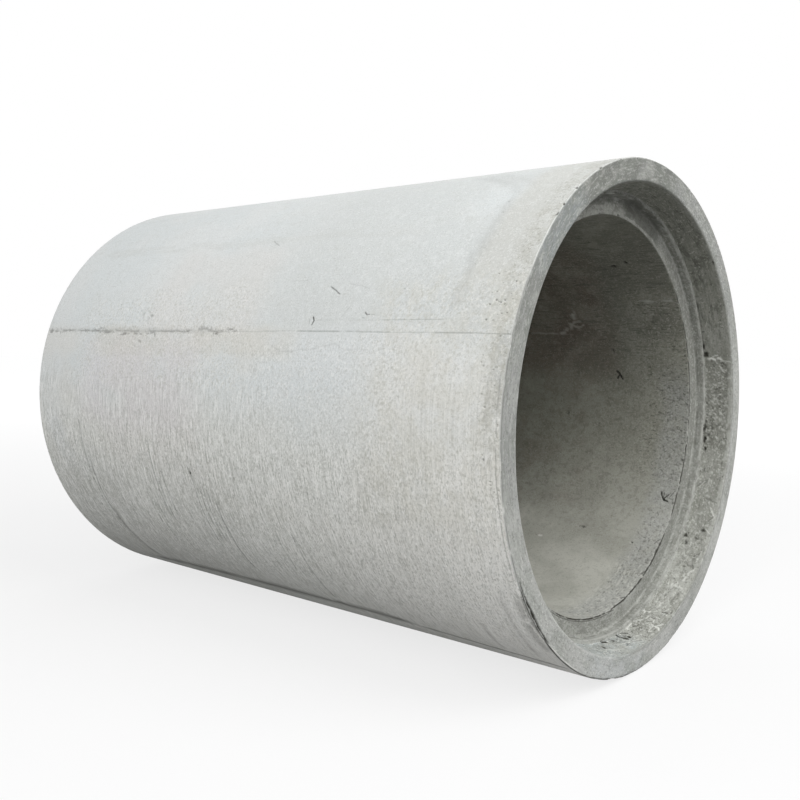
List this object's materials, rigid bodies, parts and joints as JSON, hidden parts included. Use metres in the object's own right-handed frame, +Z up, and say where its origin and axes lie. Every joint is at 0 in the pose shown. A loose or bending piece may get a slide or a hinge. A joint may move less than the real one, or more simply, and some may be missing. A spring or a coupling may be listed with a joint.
{
  "type": "concrete sewer pipe",
  "caption": "Straight precast concrete pipe lying on its side, with a stepped, tapered socket recessed into one end and a matching spigot at the other.",
  "frame": {"origin": "on the ground, under the middle of the pipe's whole length", "axes": "+X along the pipe's axis towards the socket end, +Z up, +Y across"},
  "size_m": [3.284, 2.2492, 2.2492],
  "materials": {
    "concrete": "pale grey cast concrete: smooth and faintly blotched outside, rough and pitted in the socket"
  },
  "bodies": {
    "root": {"pipe": "concrete"}
  },
  "joints": []
}
